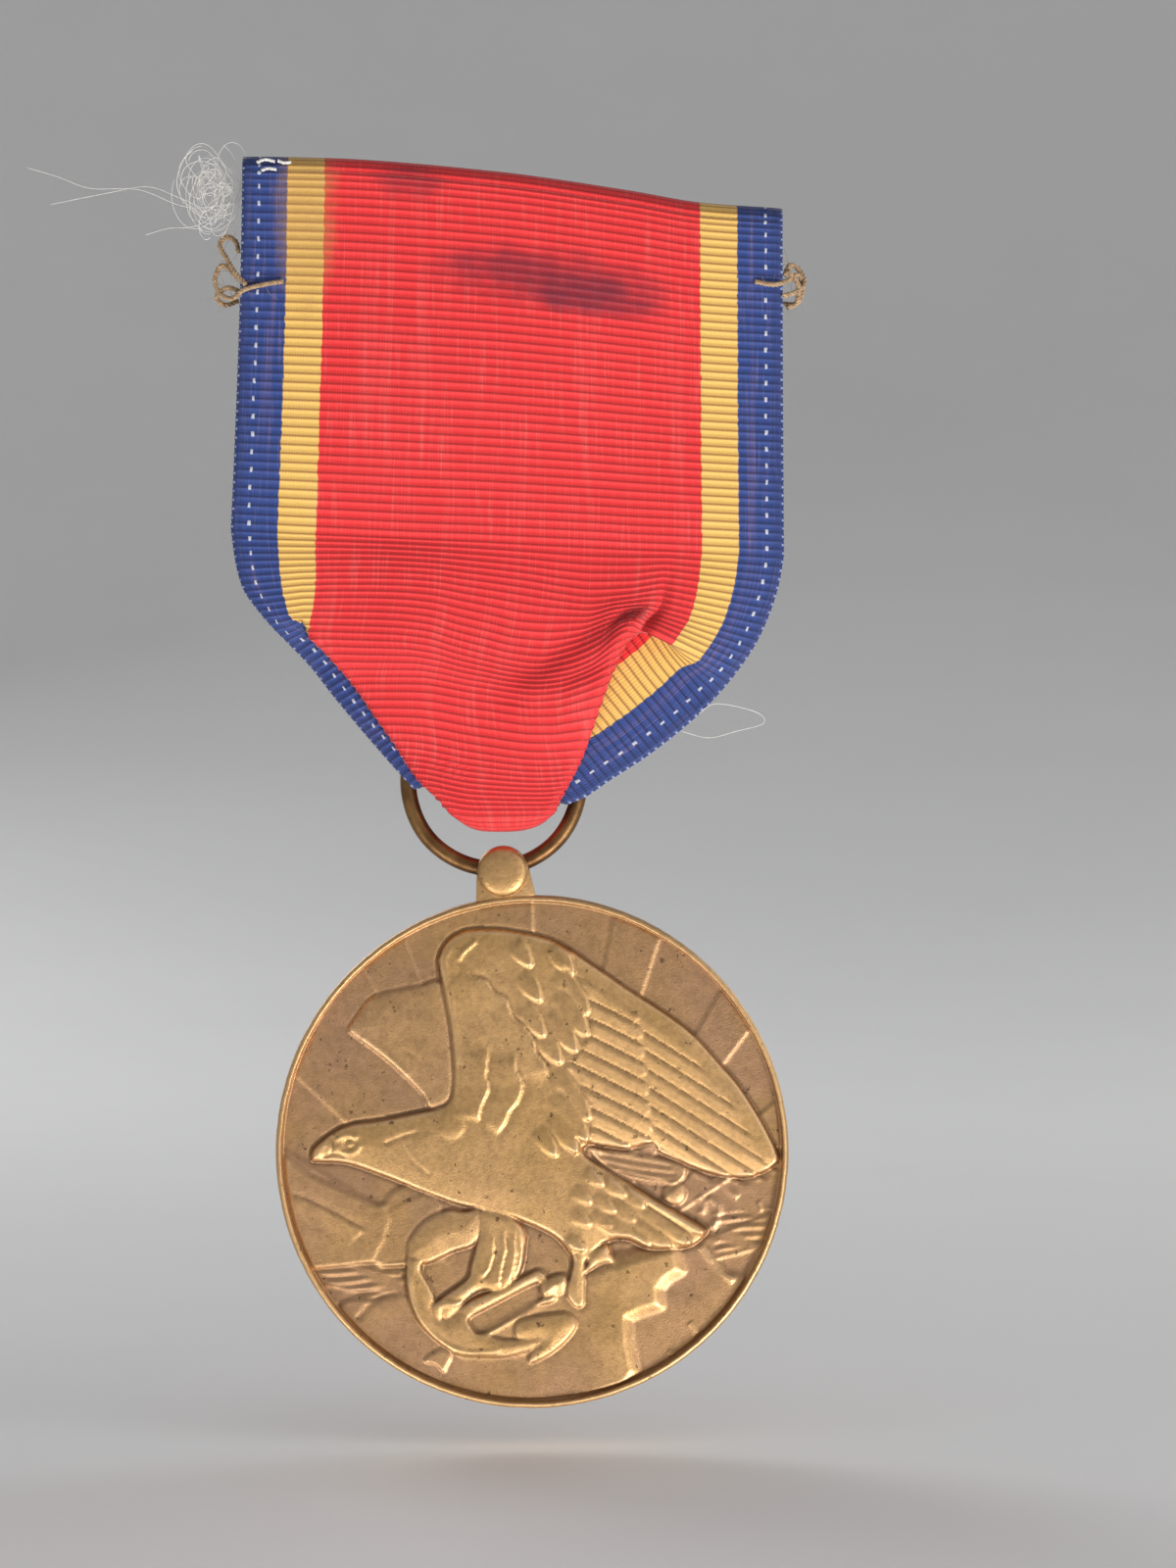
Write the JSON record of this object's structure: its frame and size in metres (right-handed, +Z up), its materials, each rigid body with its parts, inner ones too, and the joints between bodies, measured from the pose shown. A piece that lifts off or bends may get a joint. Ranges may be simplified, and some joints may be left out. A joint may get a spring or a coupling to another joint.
{
  "type": "service medal",
  "caption": "Round struck bronze medal with an eagle over an anchor, hung by a knob and wire ring from a pleated striped ribbon on a pin brooch.",
  "frame": {"origin": "on the brooch pin's centreline, halfway along the pin brooch", "axes": "+Z up, front face towards -Y, +Y into the garment, +X to the viewer's right"},
  "size_m": [0.0384, 0.0061, 0.078],
  "materials": {
    "bronze": "struck, toned brown-gold patina, brighter on the high points",
    "ring_bronze": "drawn wire, dull brown patina",
    "ribbon_cloth": "ribbed rayon moire, red centre with yellow and blue edges",
    "red_thread": "sewing cotton",
    "tan_thread": "coarse sewing cotton",
    "white_thread": "frayed loose thread",
    "brooch_brass": "stamped, lightly tarnished",
    "pin_steel": "polished, nickel plated"
  },
  "bodies": {
    "brooch": {"ribbon": "ribbon_cloth", "rear_seam_thread": "red_thread", "left_tack_thread": "tan_thread", "right_tack_thread": "tan_thread", "frayed_thread": "white_thread", "brooch_plate": "brooch_brass", "hinge_bracket": "brooch_brass", "hinge_rivet": "pin_steel", "catch_body": "brooch_brass"},
    "pin": {"brooch_pin": "pin_steel"},
    "lock": {"catch_lock": "brooch_brass"},
    "ring": {"suspension_ring": "ring_bronze"},
    "medal": {"medal_disc": "bronze", "suspension_knob": "bronze"}
  },
  "joints": [
    {"name": "pin_hinge", "type": "hinge", "parent": "brooch", "child": "pin", "pos_m": [0.01344, 0, -0.00129], "axis": [-0.0958, 0, -0.9954], "range_deg": [0, 85]},
    {"name": "lock_turn", "type": "hinge", "parent": "brooch", "child": "lock", "pos_m": [-0.01294, 0, 0.00125], "axis": [-0.9954, 0, 0.0958], "range_deg": [0, 95]},
    {"name": "ring_turn", "type": "hinge", "parent": "brooch", "child": "ring", "pos_m": [-0.001, -0.0032, -0.03266], "axis": [0, 1, 0], "range_deg": [-14, 26]},
    {"name": "medal_swing", "type": "hinge", "parent": "ring", "child": "medal", "pos_m": [-0.00046, -0.0032, -0.03783], "axis": [0.9945, 0, 0.1045], "range_deg": [-100, 100]}
  ]
}
